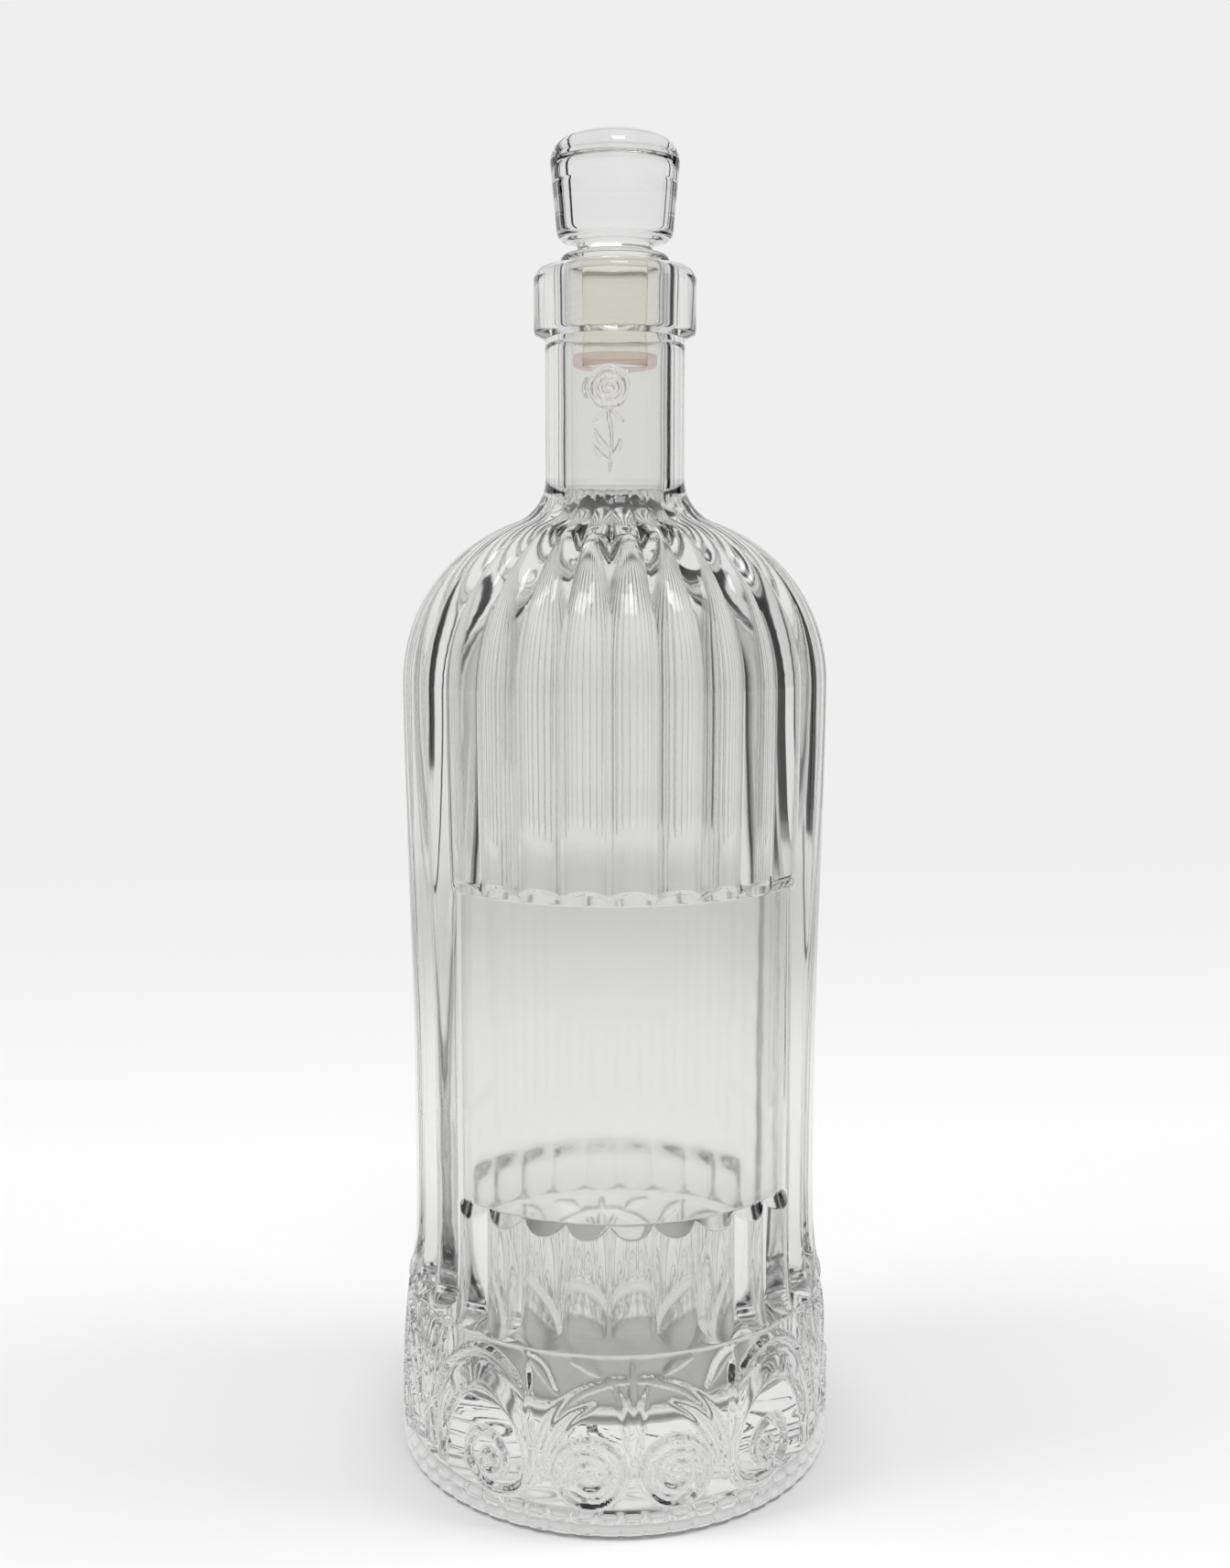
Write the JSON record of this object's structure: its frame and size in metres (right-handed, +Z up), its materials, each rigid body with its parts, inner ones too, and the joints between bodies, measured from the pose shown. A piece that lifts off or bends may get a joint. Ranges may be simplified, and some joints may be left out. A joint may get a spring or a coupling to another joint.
{
  "type": "genie bottle",
  "caption": "Reeded clear-glass bottle with a domed shoulder, two smooth panels, a scrolled base band and a lift-out glass stopper in a finned sleeve.",
  "frame": {"origin": "centre of the standing base, on the surface that the bottle stands on", "axes": "+Z up the bottle's axis to the stopper, -Y towards the front panel"},
  "size_m": [0.0876, 0.0876, 0.2601],
  "materials": {
    "clear_glass": "clear, glossy pressed glass",
    "stopper_glass": "clear, glossy solid glass",
    "sleeve_plastic": "soft translucent plastic",
    "end_ring_plastic": "soft translucent plastic, faint pink"
  },
  "bodies": {
    "bottle_body": {"bottle": "clear_glass"},
    "stopper": {"stopper_knob": "stopper_glass", "stopper_sleeve": "sleeve_plastic", "sleeve_end_ring": "end_ring_plastic"}
  },
  "joints": [
    {"name": "stopper_lift", "type": "slide", "parent": "bottle_body", "child": "stopper", "axis": [0, 0, 1], "range_m": [0, 0.03]}
  ]
}
